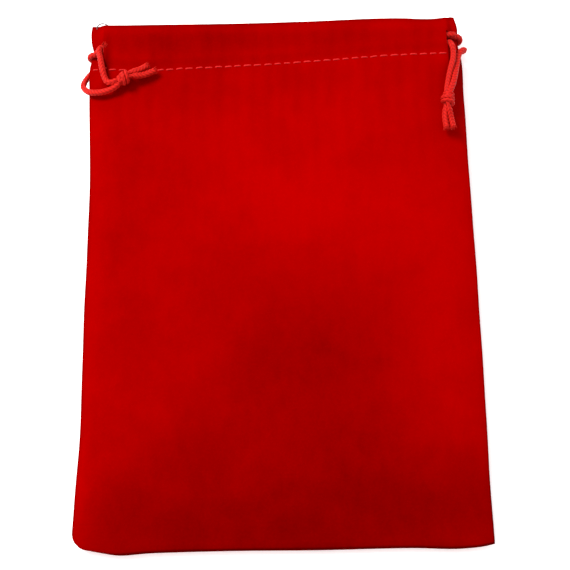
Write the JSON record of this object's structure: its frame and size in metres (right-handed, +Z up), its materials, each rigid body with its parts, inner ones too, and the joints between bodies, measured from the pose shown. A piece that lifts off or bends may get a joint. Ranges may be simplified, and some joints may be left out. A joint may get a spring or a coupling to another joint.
{
  "type": "drawstring dice bag",
  "caption": "Flat velvet pouch for dice, with a hemmed mouth and a drawstring tied at each side, which gather the mouth when they are pulled.",
  "frame": {"origin": "middle of the bag's box, on the table that it lies on", "axes": "+X across the bag to its right as seen from the front, +Y from the bottom seam to the mouth, +Z up out of the front panel"},
  "size_m": [0.1328, 0.177, 0.0159],
  "materials": {
    "velvet": "short cut pile, soft sheen",
    "cord": "braided, slightly fuzzy",
    "thread": "spun sewing thread"
  },
  "bodies": {
    "bag": {"front_panel": "velvet", "back_panel": "velvet", "front_hem": "velvet", "back_hem": "velvet", "left_seam_allowance": "velvet", "right_seam_allowance": "velvet", "bottom_seam_allowance": "velvet", "left_overlock": "thread", "right_overlock": "thread", "bottom_overlock": "thread", "front_hem_stitches": "thread", "back_hem_stitches": "thread"},
    "left_drawstring": {"left_drawstring_loop": "cord", "left_drawstring_front_leg": "cord", "left_drawstring_back_leg": "cord", "left_drawstring_knot": "cord", "left_drawstring_front_tail": "cord", "left_drawstring_back_tail": "cord"},
    "right_drawstring": {"right_drawstring_loop": "cord", "right_drawstring_front_leg": "cord", "right_drawstring_back_leg": "cord", "right_drawstring_knot": "cord", "right_drawstring_front_tail": "cord", "right_drawstring_back_tail": "cord"}
  },
  "joints": [
    {"name": "left_drawstring_pull", "type": "slide", "parent": "bag", "child": "left_drawstring", "axis": [-1, 0, 0], "range_m": [0, 0.035], "deforming": ["front_panel", "back_panel", "front_hem", "back_hem", "left_seam_allowance", "right_seam_allowance", "left_overlock", "right_overlock", "front_hem_stitches", "back_hem_stitches"]},
    {"name": "right_drawstring_pull", "type": "slide", "parent": "bag", "child": "right_drawstring", "axis": [1, 0, 0], "range_m": [0, 0.035], "deforming": ["front_panel", "back_panel", "front_hem", "back_hem", "left_seam_allowance", "right_seam_allowance", "left_overlock", "right_overlock", "front_hem_stitches", "back_hem_stitches"]}
  ]
}
